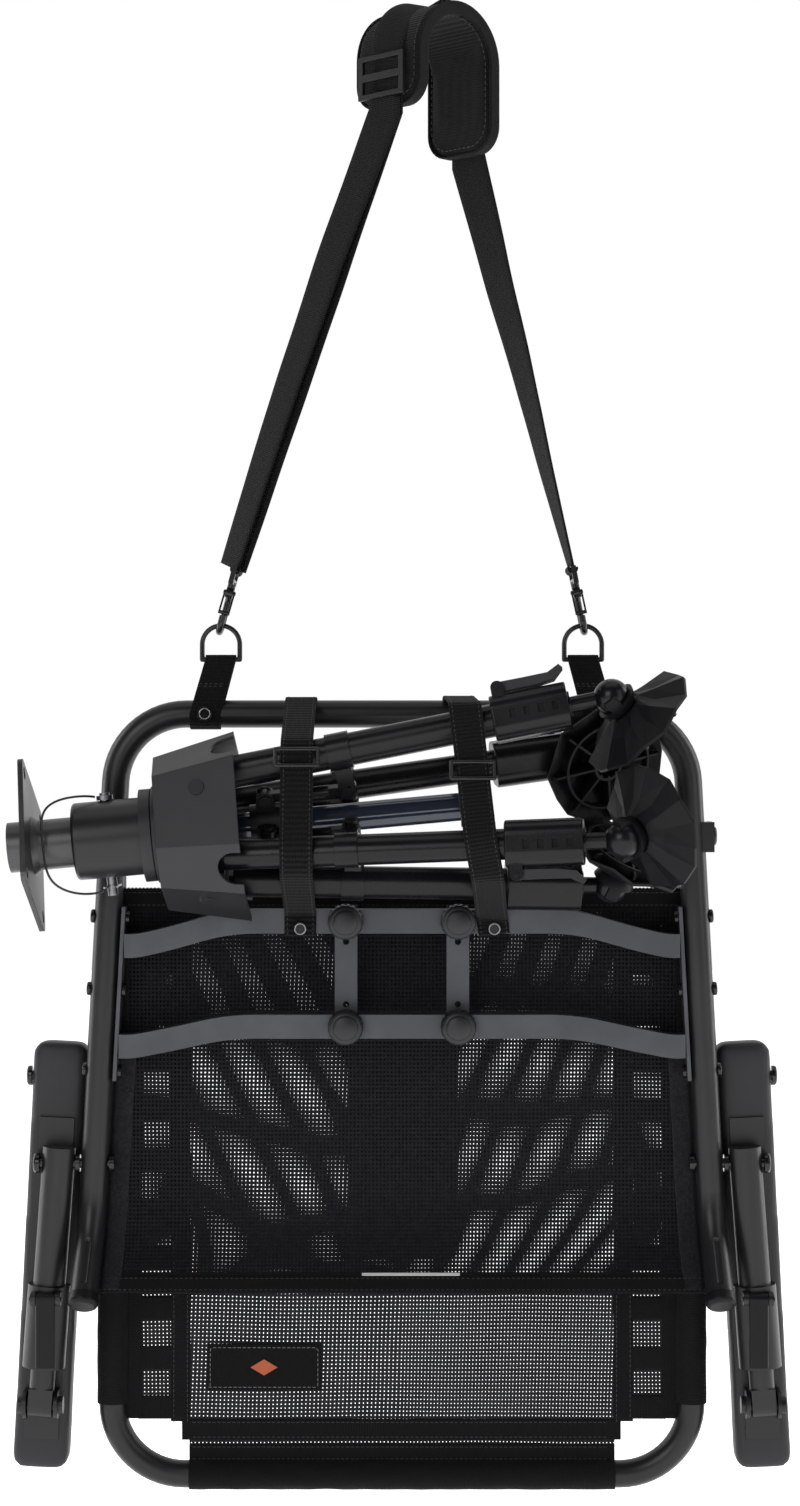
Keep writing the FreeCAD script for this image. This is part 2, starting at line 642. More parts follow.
def prop_lever():
    """Flip lever of the prop clamp."""
    y, z = PROP_LEVER_AXIS
    middle = PROP_X + (PROP_PIVOT[1] - z) * (PROP_END_X - PROP_X) / (PROP_PIVOT[1] - PROP_END[1])
    hub = cylinder(V(middle - 7.7, y, z), V(middle + 7.7, y, z), 4.6)
    blade = block((middle - 7.7, y - 4.6, z - 54), (middle + 7.7, y + 0.4, z))
    blade = blade.makeFillet(2, [e for e in blade.Edges if e.BoundBox.ZLength > 50])
    shape = joined([hub, blade])
    return shape.cut(cylinder(V(middle - 9, y, z), V(middle + 9, y, z), 2 + FIT))


# ---------------------------------------------------------------- carry strap

def ring_tab(sign):
    """Webbing tab round the rear tube, up to the bar of its D-ring."""
    x = sign * TAB_X
    loop = ring(V(x - TAB_HALF, 0, SEAT_TOP_Z), V(x + TAB_HALF, 0, SEAT_TOP_Z), TUBE_R + TAB_T, TUBE_R + 0.05)
    loop = loop.cut(cylinder(V(x, -20, SEAT_TOP_Z), V(x, 0, SEAT_TOP_Z), 2 + FIT))
    low = SEAT_TOP_Z + TUBE_R + 0.3
    high = RING_BAR_Z - 2.6
    wires = []
    for centre, z in ((x, low), (x - sign * 3, low + 8), (sign * RING_X, high - 8), (sign * RING_X, high)):
        wires.append(polygon_wire([V(centre - TAB_HALF, -3, z), V(centre + TAB_HALF, -3, z),
                                   V(centre + TAB_HALF, 3, z), V(centre - TAB_HALF, 3, z)]))
    band = Part.makeLoft(wires, True, True)
    x = sign * RING_X
    eye = ring(V(x - TAB_HALF, 0, RING_BAR_Z), V(x + TAB_HALF, 0, RING_BAR_Z), 4.4, RING_WIRE_R + FIT)
    return joined([loop, band, eye])


def half_torus(centre, axis, start, major, minor, angle=180):
    """Bent round bar that begins at a point on the bend and turns about an axis."""
    section = Part.Face(Part.Wire([Part.makeCircle(minor, start, axis.cross(start - centre))]))
    return section.revolve(centre, axis, angle)


def d_ring(sign):
    """D-ring: a straight bar in the tab and a bow above it."""
    x = sign * RING_X
    bar_z = RING_BAR_Z
    mid_z = bar_z + RING_SIDE
    low = V(x - RING_HALF, 0, bar_z)
    high = V(x + RING_HALF, 0, bar_z)
    bow = half_torus(V(x, 0, mid_z), V(0, -1, 0), V(x + RING_HALF, 0, mid_z), RING_HALF, RING_WIRE_R)
    return joined([cylinder(low, high, RING_WIRE_R),
                   cylinder(low, low + V(0, 0, RING_SIDE), RING_WIRE_R),
                   cylinder(high, high + V(0, 0, RING_SIDE), RING_WIRE_R),
                   Part.makeSphere(RING_WIRE_R, low), Part.makeSphere(RING_WIRE_R, high), bow])


HOOK_SEAT = 2.9              # the D-ring wire below the middle of the hook's bend
HOOK_NOSE_Z = 5.1            # end of the hook's nose, just under the sweep of the gate
GATE_PIVOT = (-3.0, 24.0)    # y, z in the hook's own frame
GATE_TIP = (-8.0, 7.6)


def hook_place(shape, side):
    """Hang a shape, drawn in the hook's own frame, on the left (0) or right (1) D-ring."""
    sign = (-1, 1)[side]
    top = V(sign * RING_X, 0, RING_BAR_Z + RING_SIDE + RING_HALF)
    result = moved(shape, top + V(0, 0, HOOK_SEAT))
    return turned(result, top, Y_AXIS, -sign * HOOK_LEAN[side])


def snap_hook():
    """Hook with its webbing eye, in its own frame."""
    line = rounded_path([V(0, -HOOK_BEND_R, HOOK_NOSE_Z), V(0, -HOOK_BEND_R, -HOOK_BEND_R),
                         V(0, HOOK_BEND_R, -HOOK_BEND_R), V(0, HOOK_BEND_R, 18), V(0, -1, 28)],
                        [HOOK_BEND_R - 0.1, HOOK_BEND_R - 0.1, 5])
    body = pipe(line, HOOK_R)
    boss = cylinder(V(-2.9, GATE_PIVOT[0], GATE_PIVOT[1]), V(2.9, GATE_PIVOT[0], GATE_PIVOT[1]), 4.2)
    neck = cylinder(V(0, 0, 24), V(0, 0, 33), 3.3)
    eye = block((-2, -23, 31), (2, 23, 45)).cut(block((-3, -19, 35), (3, 19, 41)))
    shape = joined([body, boss, neck, eye])
    pin_hole = cylinder(V(-6, GATE_PIVOT[0], GATE_PIVOT[1]), V(6, GATE_PIVOT[0], GATE_PIVOT[1]), 1.2 + FIT)
    return shape.cut(pin_hole)


def hook_gate():
    """Wire gate of a snap hook, in the hook's own frame."""
    pieces = []
    way = V(0, GATE_TIP[0] - GATE_PIVOT[0], GATE_TIP[1] - GATE_PIVOT[1]).normalize()
    side = V(0, way.z, -way.y)
    for low, high in ((-4.6, -3.2), (3.2, 4.6)):
        top = V(low, GATE_PIVOT[0], GATE_PIVOT[1])
        tip = V(low, GATE_TIP[0], GATE_TIP[1])
        arm = Part.Face(polygon_wire([top - side, top + side, tip + side, tip - side]))
        pieces.append(arm.extrude(V(high - low, 0, 0)))
        pieces.append(cylinder(top, top + V(high - low, 0, 0), 2.1))
    pieces.append(cylinder(V(-5, GATE_PIVOT[0], GATE_PIVOT[1]), V(5, GATE_PIVOT[0], GATE_PIVOT[1]), 1.2))
    pieces.append(cylinder(V(-4.6, GATE_TIP[0], GATE_TIP[1]), V(4.6, GATE_TIP[0], GATE_TIP[1]), 1.5))
    return joined(pieces)


def ribbon(stations):
    """Twisted webbing through stations of (point, heading of the width in degrees)."""
    wires = []
    for index, (point, heading) in enumerate(stations):
        before = stations[max(index - 1, 0)][0]
        after = stations[min(index + 1, len(stations) - 1)][0]
        along = (after - before).normalize()
        angle = math.radians(heading)
        across = V(math.cos(angle), math.sin(angle), 0)
        across = (across - along * across.dot(along)).normalize()
        thick = along.cross(across)
        a = across * (WEB_W / 2)
        t = thick * (WEB_T / 2)
        wires.append(polygon_wire([point - a - t, point + a - t, point + a + t, point - a + t]))
    return Part.makeLoft(wires, True, True)


def pad_point(out, z):
    """Point on the shoulder pad's middle plane, out from its centre along the direction it spans."""
    angle = math.radians(PAD_TURN)
    return V(PAD_X + out * math.cos(angle), out * math.sin(angle), z)


def hook_top(side):
    """Middle of the webbing bar of a snap hook."""
    point = hook_place(Part.Vertex(V(0, 0, 43)), side)
    return V(point.X, point.Y, point.Z)


def web_leg(side):
    """One leg of the carry strap from its hook up to the shoulder pad."""
    sign = (-1, 1)[side]
    low = hook_top(side)
    low = low + V(0, 0, 4.5)
    out = sign * (PAD_OUT_R + WEB_T / 2 + 0.3)
    high = pad_point(out, PAD_MID_Z - 0.05)
    pad_end = pad_point(out, (PAD_LEFT_Z, PAD_RIGHT_Z)[side] - 2)
    twist = (118.0, 92.0)[side]
    last = PAD_TURN + 90
    stations = [(low, twist)]
    for share in (0.1, 0.2, 0.3, 0.4, 0.5, 0.6, 0.7, 0.8, 0.9):
        stations.append((low + (pad_end - low) * share, twist + (last - twist) * share))
    stations.append((pad_end, last))
    stations.append((high, last))
    return ribbon(stations)


def strap_webbing():
    """Webbing from one hook over the pad to the other, doubled on the left below its buckle."""
    turn = PAD_TURN
    outer = PAD_OUT_R + WEB_T + 0.3
    inner = PAD_OUT_R + 0.3
    mid = V(PAD_X, 0, PAD_MID_Z)
    crest = cylinder(mid - V(0, WEB_W / 2, 0), mid + V(0, WEB_W / 2, 0), outer)
    crest = crest.cut(cylinder(mid - V(0, WEB_W, 0), mid + V(0, WEB_W, 0), inner))
    crest = crest.common(block((PAD_X - 80, -80, PAD_MID_Z), (PAD_X + 80, 80, PAD_MID_Z + 80)))
    crest = turned(crest, mid, Z_AXIS, turn)
    low = hook_top(0) + V(-5.5, 0, 6)
    stations = [(low, 118.0)]
    top = pad_point(-(PAD_OUT_R + WEB_T * 2.5 + 0.6), PAD_LEFT_Z - 6)
    for share in (0.1, 0.2, 0.3, 0.4, 0.5, 0.6, 0.7, 0.8, 0.9):
        point = low + (top - low) * share
        stations.append((point - V(3.5 * math.sin(math.pi * share), 0, 0), 118.0 + 17.0 * share))
    stations.append((top, PAD_TURN + 90))
    return [web_leg(0), web_leg(1), crest, ribbon(stations)]


def shoulder_pad():
    """Padded arch under the webbing."""
    mid = V(PAD_X, 0, PAD_MID_Z)
    half = PAD_W / 2
    arch = cylinder(mid - V(0, half, 0), mid + V(0, half, 0), PAD_OUT_R)
    arch = arch.common(block((PAD_X - 80, -80, PAD_MID_Z), (PAD_X + 80, 80, PAD_MID_Z + 80)))
    arch = arch.cut(cylinder(mid - V(0, PAD_W, 0), mid + V(0, PAD_W, 0), PAD_IN_R))
    pieces = [arch]
    for sign, end in ((-1, PAD_LEFT_Z), (1, PAD_RIGHT_Z)):
        x0 = PAD_X + min(sign * PAD_IN_R, sign * PAD_OUT_R)
        x1 = PAD_X + max(sign * PAD_IN_R, sign * PAD_OUT_R)
        leg = block((x0, -half, end), (x1, half, PAD_MID_Z + 1))
        corners = [e for e in leg.Edges if abs(e.CenterOfMass.z - end) < 0.01 and e.BoundBox.YLength < 1]
        leg = leg.makeFillet(PAD_CORNER_R, corners)
        pieces.append(leg)
    return turned(joined(pieces), mid, Z_AXIS, PAD_TURN)


def tri_glide():
    """Flat three-bar buckle on the left leg of the strap."""
    out = PAD_OUT_R + WEB_T * 2 + 1.6
    z = PAD_MID_Z - 16
    x0 = PAD_X - out - 3
    frame = block((x0, -25, z - 17), (x0 + 3, 25, z + 17))
    for low, high in ((z - 13, z - 3), (z + 3, z + 13)):
        frame = frame.cut(block((x0 - 1, -20, low), (x0 + 4, 20, high)))
    return turned(frame, V(PAD_X, 0, 0), Z_AXIS, PAD_TURN)


# ---------------------------------------------------------------- stand straps

# Corners, as (y, z, share of the way down), of each strap round the folded stand
STRAP_LINES = (
    ((12.6, 200.4, 0.0), (12.6, 216.0, 0.0), (8.0, 219.0, 0.0), (-14.0, 219.0, 0.0), (-114.0, 184.0, 0.2),
     (-138.0, 104.0, 0.6), (-132.0, 82.0, 0.75), (-36.0, 50.0, 0.93), (-32.7, 48.0, 0.95),
     (-32.7, 31.0, 1.0)),
    ((12.6, 200.4, 0.0), (12.6, 216.0, 0.0), (8.0, 219.0, 0.0), (-14.0, 220.0, 0.0), (-121.0, 213.0, 0.1),
     (-152.0, 110.0, 0.5), (-144.0, 80.0, 0.7), (-37.0, 46.0, 0.93), (-32.7, 43.0, 0.95),
     (-32.7, 31.0, 1.0)))


def strap_x(index, share):
    """Middle of a stand strap across the frame, a share of the way down."""
    return STRAP_TOP_X[index] + (STRAP_END_X[index] - STRAP_TOP_X[index]) * share


def stand_strap(index):
    """Webbing strap from the rear tube, round the stand, to the upper cross bar."""
    line = STRAP_LINES[index]
    half = STRAP_T / 2
    side = V(STRAP_W / 2, 0, 0)
    pieces = []
    for first, last in zip(line[:-1], line[1:]):
        normal = V(0, -(last[1] - first[1]), last[0] - first[0]).normalize() * half
        sections = []
        for y, z, share in (first, last):
            point = V(strap_x(index, share), y, z)
            sections.append(polygon_wire([point - side - normal, point + side - normal,
                                          point + side + normal, point - side + normal]))
            pieces.append(cylinder(point - side, point + side, half))
        pieces.append(Part.makeLoft(sections, True, True))
    x = STRAP_END_X[index]
    return joined(pieces).cut(cylinder(V(x, -60, STRAP_SCREW_Z), V(x, 0, STRAP_SCREW_Z), 2 + FIT))


def strap_buckle(index):
    """Wire loop buckle on the front of a stand strap."""
    upper, lower = STRAP_LINES[index][4:6]
    share = BUCKLE_SHARE[index]
    middle = V(strap_x(index, upper[2] + (lower[2] - upper[2]) * share),
               upper[0] + (lower[0] - upper[0]) * share, upper[1] + (lower[1] - upper[1]) * share)
    down = V(0, lower[0] - upper[0], lower[1] - upper[1]).normalize()
    middle = middle + V(0, down.z, -down.y) * (STRAP_T / 2 + 1.9)
    half = V(STRAP_W / 2 + 3.6, 0, 0)
    corners = []
    for reach in (-6.5, 6.5):
        corners.append((middle + down * reach - half, middle + down * reach + half))
    pieces = []
    for left, right in corners:
        pieces.append(cylinder(left, right, 1.6))
        pieces += [Part.makeSphere(1.6, left), Part.makeSphere(1.6, right)]
    for end in (0, 1):
        pieces.append(cylinder(corners[0][end], corners[1][end], 1.6))
    return joined(pieces)


# ---------------------------------------------------------------- stand head

def stand_place(shape):
    """Place a shape drawn with the stand's axis along X and the plate at the origin."""
    result = turned(shape, ORIGIN, Y_AXIS, -STAND_TILT)
    return moved(result, V(STAND_X, STAND_Y, STAND_Z))


def roll(shape, angle):
    """Turn a shape drawn outwards along Z about the stand's axis to a leg's direction."""
    return turned(shape, ORIGIN, X_AXIS, 90 - angle)


def along(s, radius_out, radius_in=0.0):
    """Round bar or tube on the stand's axis between two stations."""
    if radius_in > 0:
        return ring(V(s[0], 0, 0), V(s[1], 0, 0), radius_out, radius_in)
    return cylinder(V(s[0], 0, 0), V(s[1], 0, 0), radius_out)


def pin_bore():
    """Hole for the lock pin across the head."""
    return cylinder(V(PIN_S, 0, -60), V(PIN_S, 0, 60), PIN_R + FIT)


def swivel_shaft():
    """Tube and square base plate that a seat bracket bolts to."""
    tube = along(SHAFT_S, SHAFT_R, SHAFT_BORE)
    half = PLATE_SIDE / 2
    plate = block((-2, -half, -half), (2, half, half))
    plate = plate.makeFillet(6, [e for e in plate.Edges if e.BoundBox.XLength > 3.5])
    plate = plate.cut(cylinder(V(-5, 0, 0), V(5, 0, 0), SHAFT_R - 0.5))
    for y in (-1, 1):
        for z in (-1, 1):
            centre = V(-5, y * PLATE_HOLE_PITCH / 2, z * PLATE_HOLE_PITCH / 2)
            plate = plate.cut(cylinder(centre, centre + V(10, 0, 0), PLATE_HOLE_R))
    plate = turned(plate, ORIGIN, X_AXIS, PLATE_ROLL)
    bead = Part.makeCone(SHAFT_R + 4, SHAFT_R, 5, V(2, 0, 0), X_AXIS)
    bead = bead.cut(cylinder(V(-1, 0, 0), V(10, 0, 0), SHAFT_R - 1))
    return joined([tube, plate, bead]).cut(pin_bore())


def swivel_collar():
    """Collar that turns on the hub and is pinned to the shaft."""
    body = along(COLLAR_S, COLLAR_R)
    body = body.makeFillet(3, [e for e in body.Edges if abs(e.CenterOfMass.x - COLLAR_S[0]) < 0.01])
    body = body.cut(cylinder(V(COLLAR_S[0] - 1, 0, 0), V(SHAFT_S[1] + 0.1, 0, 0), SHAFT_R + FIT))
    body = body.cut(cylinder(V(SHAFT_S[1], 0, 0), V(COLLAR_S[1] + 1, 0, 0), SHAFT_BORE))
    return body.cut(pin_bore())


def lock_pin():
    """Cross pin with a flat head."""
    shank = cylinder(V(PIN_S, 0, -44), V(PIN_S, 0, 36), PIN_R)
    head = cylinder(V(PIN_S, 0, COLLAR_R + 0.4), V(PIN_S, 0, COLLAR_R + 4), 6.5)
    return joined([shank, head])


def hairpin_clip():
    """Spring wire clip that straddles the lock pin below the collar."""
    z = -37.0
    gap = PIN_R + 0.95 + FIT
    legs = []
    for sign in (-1, 1):
        legs.append(cylinder(V(PIN_S + sign * gap, -14, z), V(PIN_S + sign * gap, 16, z), 0.95))
    bow = half_torus(V(PIN_S, 16, z), Z_AXIS, V(PIN_S + gap, 16, z), gap, 0.95)
    return joined(legs + [bow])


def lanyard():
    """Thin cable from the pin's head round the front of the shaft to the clip."""
    points = [V(PIN_S - 7.5, -2, 33.5), V(PIN_S - 22, -12, 35), V(16, -25, 27), V(12, -27, 0),
              V(16, -25, -27), V(PIN_S - 24, -12, -40), V(PIN_S - 6.5, -8, -40)]
    curve = Part.BSplineCurve()
    curve.interpolate(points)
    return pipe(Part.Wire([curve.toShape()]), 0.9)


def eight_sides(s, half_face, half_corner):
    """Eight-sided outline across the stand's axis, with the second half width facing each leg."""
    reach = half_corner * math.sqrt(2) - half_face
    points = []
    for turn in range(4):
        base = math.radians(90 - LEG_ROLLS[0] + 45 + 90 * turn)
        out = V(0, -math.sin(base), math.cos(base))
        side = V(0, -math.cos(base), -math.sin(base))
        for sign in (-1, 1):
            points.append(V(s, 0, 0) + out * half_face + side * (sign * reach))
    return polygon_wire(points)


def hub_shroud():
    """Eight-sided flared cover over the leg pivots, notched where the legs swing out."""
    outer = Part.makeLoft([eight_sides(SHROUD_S[0], *SHROUD_BACK), eight_sides(SHROUD_S[1], *SHROUD_FRONT)],
                          True, True)
    back = [h - SHROUD_WALL for h in SHROUD_BACK]
    front = [h - SHROUD_WALL for h in SHROUD_FRONT]
    grow = [(f - b) / (SHROUD_S[1] - SHROUD_S[0]) for f, b in zip(front, back)]
    start = SHROUD_S[0] + 3
    inner_back = [b + g * 3 for b, g in zip(back, grow)]
    inner_front = [f + g for f, g in zip(front, grow)]
    inner = Part.makeLoft([eight_sides(start, *inner_back), eight_sides(SHROUD_S[1] + 1, *inner_front)],
                          True, True)
    shell = outer.cut(inner)
    shell = shell.cut(cylinder(V(SHROUD_S[0] - 1, 0, 0), V(SHROUD_S[0] + 5, 0, 0), 28 + FIT))
    for angle in LEG_ROLLS:
        slot = cylinder(V(160, 0, 40), V(160, 0, 90), 13.4)
        slot = joined([slot, block((160, -13.4, 40), (170, 13.4, 90))])
        shell = shell.cut(roll(slot, angle))
    heads = []
    for angle in LEG_ROLLS:
        seat = SHROUD_BACK[0] + (HUB_S - SHROUD_S[0]) * (SHROUD_FRONT[0] - SHROUD_BACK[0]) / 64
        screw = cylinder(V(HUB_S, 14, seat - 2), V(HUB_S, 14, seat + 2.5), 6)
        heads.append(roll(screw, angle - 45))
    return joined([shell] + heads)


def hub_core():
    """Turned hub with its flange, spigot and the cheeks and pins that carry the legs."""
    flange = along((87.1, 96.0), FLANGE_R - 1.5)
    groove = along((95.9, 97.0), FLANGE_R - 5)
    second = along((96.9, 100.9), FLANGE_R)
    spigot = along((68.0, 88.0), SHAFT_BORE - 0.07)
    body = along((87.1, 150.0), 28)
    pieces = [flange, groove, second, spigot, body]
    for angle in LEG_ROLLS:
        for low, high in ((-16.5, -12.3), (12.3, 16.5)):
            cheek = block((108, low, 20), (150, high, HUB_R + 8))
            pieces.append(roll(cheek, angle))
        pin = cylinder(V(HUB_S, -19, HUB_R), V(HUB_S, 19, HUB_R), STUD_R)
        pieces.append(roll(pin, angle))
        for low, high in ((-19.5, -16.4), (16.4, 19.5)):
            head = cylinder(V(HUB_S, low, HUB_R), V(HUB_S, high, HUB_R), 6.5)
            pieces.append(roll(head, angle))
    core = joined(pieces)
    for angle in LEG_ROLLS:
        core = core.cut(roll(block((122, -12.3, HUB_R - 14), (152, 12.3, HUB_R - 4.2)), angle))
        core = core.cut(roll(block((122, -12.3, HUB_R + 4.2), (152, 12.3, HUB_R + 14)), angle))
    return core.cut(cylinder(V(140, 0, 0), V(151, 0, 0), POST_R + 0.02))


def centre_post():
    """Polished post the slider runs on, with its end cap."""
    tube = along((140.1, POST_END), POST_R, POST_R - 1.8)
    cap = along((POST_END - 4, POST_END + 3), 16)
    cap = cap.makeFillet(1.5, [e for e in cap.Edges if abs(e.CenterOfMass.x - POST_END - 3) < 0.01])
    return joined([tube, cap])


def slider_collar():
    """Collar on the centre post with four pairs of lugs and the pins of the braces."""
    pieces = [along((SLIDER_S - 13, SLIDER_S + 13), 16.5)]
    for angle in LEG_ROLLS:
        for low, high in ((-7.0, -3.7), (3.7, 7.0)):
            lug = joined([cylinder(V(SLIDER_S, low, SLIDER_R), V(SLIDER_S, high, SLIDER_R), 7),
                          block((SLIDER_S - 7, low, 13), (SLIDER_S + 7, high, SLIDER_R))])
            pieces.append(roll(lug, angle))
        pin = cylinder(V(SLIDER_S, -9, SLIDER_R), V(SLIDER_S, 9, SLIDER_R), 3)
        pieces.append(roll(pin, angle))
        for low, high in ((-9.5, -6.9), (6.9, 9.5)):
            pieces.append(roll(cylinder(V(SLIDER_S, low, SLIDER_R), V(SLIDER_S, high, SLIDER_R), 5), angle))
    body = joined(pieces)
    for angle in LEG_ROLLS:
        body = body.cut(roll(block((SLIDER_S - 8, -3.7, 15.6), (SLIDER_S + 20, 3.7, SLIDER_R - 3.2)), angle))
    return body.cut(along((SLIDER_S - 30, SLIDER_S + 30), POST_R + 0.06))


# ---------------------------------------------------------------- legs

SPLAY_RAD = math.radians(LEG_SPLAY)


def leg_u(s):
    """Distance along a leg from its pivot, for a station on the stand's axis."""
    return (s - HUB_S) / math.cos(SPLAY_RAD)


def leg_place(shape, leg):
    """Place a shape drawn along X from the leg pivot, outwards along Z, on one of the four legs."""
    result = turned(shape, ORIGIN, Y_AXIS, -LEG_SPLAY)
    result = moved(result, V(HUB_S, 0, HUB_R))
    return stand_place(roll(result, LEG_ROLLS[leg]))


def bracket_point():
    """Brace pin on the leg, in the leg's own frame."""
    ds = BRACKET_S - HUB_S
    dr = BRACKET_R - HUB_R
    u = ds * math.cos(SPLAY_RAD) + dr * math.sin(SPLAY_RAD)
    out = -ds * math.sin(SPLAY_RAD) + dr * math.cos(SPLAY_RAD)
    return u, out


def leg_tube():
    """Upper leg tube with its hinge knuckle and the saddle that holds the brace, in the leg's frame."""
    end = leg_u(GRIP_S[0]) + 16
    tube = oval(LEG_HALF[0], LEG_HALF[1], 18, end)
    tube = tube.cut(oval(LEG_HALF[0] - LEG_WALL, LEG_HALF[1] - LEG_WALL, 24, end + 1))
    knuckle = cylinder(V(0, -11.8, 0), V(0, 11.8, 0), 9.4)
    neck = block((0, -9, -8.5), (19, 9, 8.5))
    u, out = bracket_point()
    saddle = oval(LEG_HALF[0] + 1.8, LEG_HALF[1] + 1.8, u - 9, u + 9)
    saddle = saddle.cut(oval(LEG_HALF[0] - 0.5, LEG_HALF[1] - 0.5, u - 10, u + 10))
    pieces = [tube, knuckle, neck, saddle]
    for low, high in ((-6.6, -3.9), (3.9, 6.6)):
        ear = joined([cylinder(V(u, low, out), V(u, high, out), 6.5),
                      block((u - 6.5, low, out), (u + 6.5, high, -LEG_HALF[0]))])
        pieces.append(ear)
        pieces.append(block((u - 6.5, low, -LEG_HALF[0]), (u + 6.5, high, -LEG_HALF[0] + 2.5)))
    pieces.append(cylinder(V(u, -9, out), V(u, 9, out), 2.5))
    for low, high in ((-9.6, -6.5), (6.5, 9.6)):
        pieces.append(cylinder(V(u, low, out), V(u, high, out), 5))
    leg = joined(pieces)
    leg = leg.cut(oval(LEG_HALF[0] - LEG_WALL, LEG_HALF[1] - LEG_WALL, 24, end + 1))
    return leg.cut(cylinder(V(0, -13, 0), V(0, 13, 0), STUD_R + FIT))


LEVER_PIN = (8.0, 23.0)      # lever pin in the grip: along the grip, and out from the leg's middle
LEVER_LENGTH = 52.0


def grip(leg):
    """Moulded clamp at the end of the upper tube, with the lugs and pin of its lever."""
    start = leg_u(GRIP_S[0])
    end = leg_u(GRIP_S[1])
    body = block((start, -GRIP_HALF, -GRIP_HALF), (end, GRIP_HALF, GRIP_HALF))
    body = body.makeFillet(12, [e for e in body.Edges if e.BoundBox.XLength > 40])
    body = body.makeFillet(1.5, [e for e in body.Edges if abs(e.CenterOfMass.x - end) < 0.01
                                 or abs(e.CenterOfMass.x - start) < 0.01])
    pin_u = start + LEVER_PIN[0]
    lugs = []
    for low, high in ((-13.0, -9.2), (9.2, 13.0)):
        lugs.append(cylinder(V(pin_u, low, LEVER_PIN[1]), V(pin_u, high, LEVER_PIN[1]), 5))
        lugs.append(block((pin_u - 5, low, GRIP_HALF - 6), (pin_u + 5, high, LEVER_PIN[1])))
    lugs.append(cylinder(V(pin_u, -13.5, LEVER_PIN[1]), V(pin_u, 13.5, LEVER_PIN[1]), 1.8))
    body = turned(joined([body] + lugs), ORIGIN, X_AXIS, -LEVER_TURN[leg])
    step = leg_u(GRIP_S[0]) + 16
    body = body.cut(oval(LEG_HALF[0] + FIT, LEG_HALF[1] + FIT, start - 1, step + 0.1))
    body = body.cut(oval(LEG_HALF[0] - LEG_WALL, LEG_HALF[1] - LEG_WALL, step, end + 1))
    slots = []
    for index in range(4):
        u = end - 10 - 11 * index
        for side in (-1, 1):
            slot = block((u - 2.4, side * GRIP_HALF - 2.5, -3), (u + 2.4, side * GRIP_HALF + 2.5, 4))
            slots.append(turned(slot, ORIGIN, X_AXIS, -LEVER_TURN[leg]))
    return body.cut(Part.makeCompound(slots))


def grip_lever(leg):
    """Flip lever of a grip."""
    start = leg_u(GRIP_S[0])
    pin_u = start + LEVER_PIN[0]
    out = LEVER_PIN[1]
    hub = cylinder(V(pin_u, -9, out), V(pin_u, 9, out), 4.4)
    profile = [V(pin_u, -9, out - 3.6), V(pin_u + 30, -9, out - 3.2), V(pin_u + 44, -9, out - 1.5),
               V(pin_u + LEVER_LENGTH, -9, out + 6), V(pin_u + LEVER_LENGTH - 2.5, -9, out + 9),
               V(pin_u + 40, -9, out + 4.4), V(pin_u + 20, -9, out + 4.2), V(pin_u, -9, out + 4.4)]
    blade = Part.Face(polygon_wire(profile)).extrude(V(0, 18, 0))
    shape = joined([hub, blade])
    shape = shape.cut(cylinder(V(pin_u, -10, out), V(pin_u, 10, out), 1.8 + FIT))
    return turned(shape, ORIGIN, X_AXIS, -LEVER_TURN[leg])


def lower_leg(leg):
    """Telescoping lower tube with its neck and ball."""
    half_z = LEG_HALF[0] - LEG_WALL - 0.08
    half_y = LEG_HALF[1] - LEG_WALL - 0.08
    ball = leg_u(BALL_S[leg])
    shoulder = leg_u(GRIP_S[1]) + 1.5
    tube = oval(half_z, half_y, 40, shoulder)
    tube = tube.cut(oval(half_z - 1.6, half_y - 1.6, 39, shoulder - 12))
    neck = cylinder(V(shoulder - 1, 0, 0), V(ball, 0, 0), NECK_R)
    return joined([tube, neck, Part.makeSphere(BALL_R, V(ball, 0, 0))])


